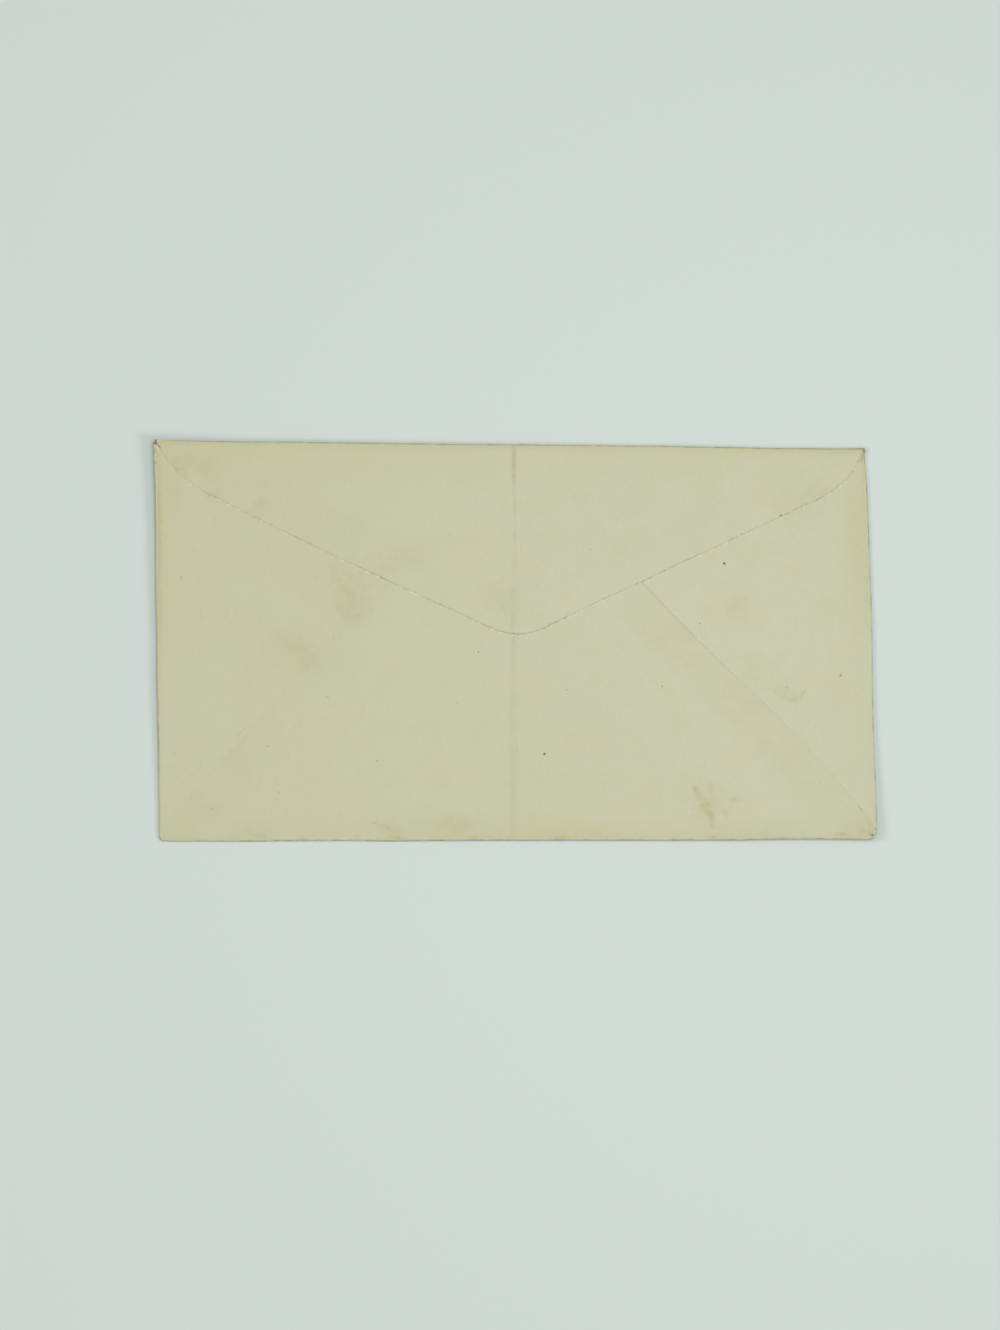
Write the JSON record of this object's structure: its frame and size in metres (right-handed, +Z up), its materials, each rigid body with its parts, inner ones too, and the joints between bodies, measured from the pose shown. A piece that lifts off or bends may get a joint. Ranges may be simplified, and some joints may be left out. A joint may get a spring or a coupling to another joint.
{
  "type": "paper envelope",
  "caption": "Closed letter envelope folded from a sheet of paper, with a pointed top flap, slanted seams, a thin empty pocket and a crease down its middle.",
  "frame": {"origin": "middle of the underside, which is the address side, with the envelope lying flat and its flaps up", "axes": "+X along the long side, +Y towards the fold of the top flap, +Z up out of the flap side"},
  "size_m": [0.165, 0.0922, 0.0008],
  "materials": {
    "paper": "matt, uncoated, aged"
  },
  "bodies": {
    "root": {"envelope": "paper"}
  },
  "joints": []
}
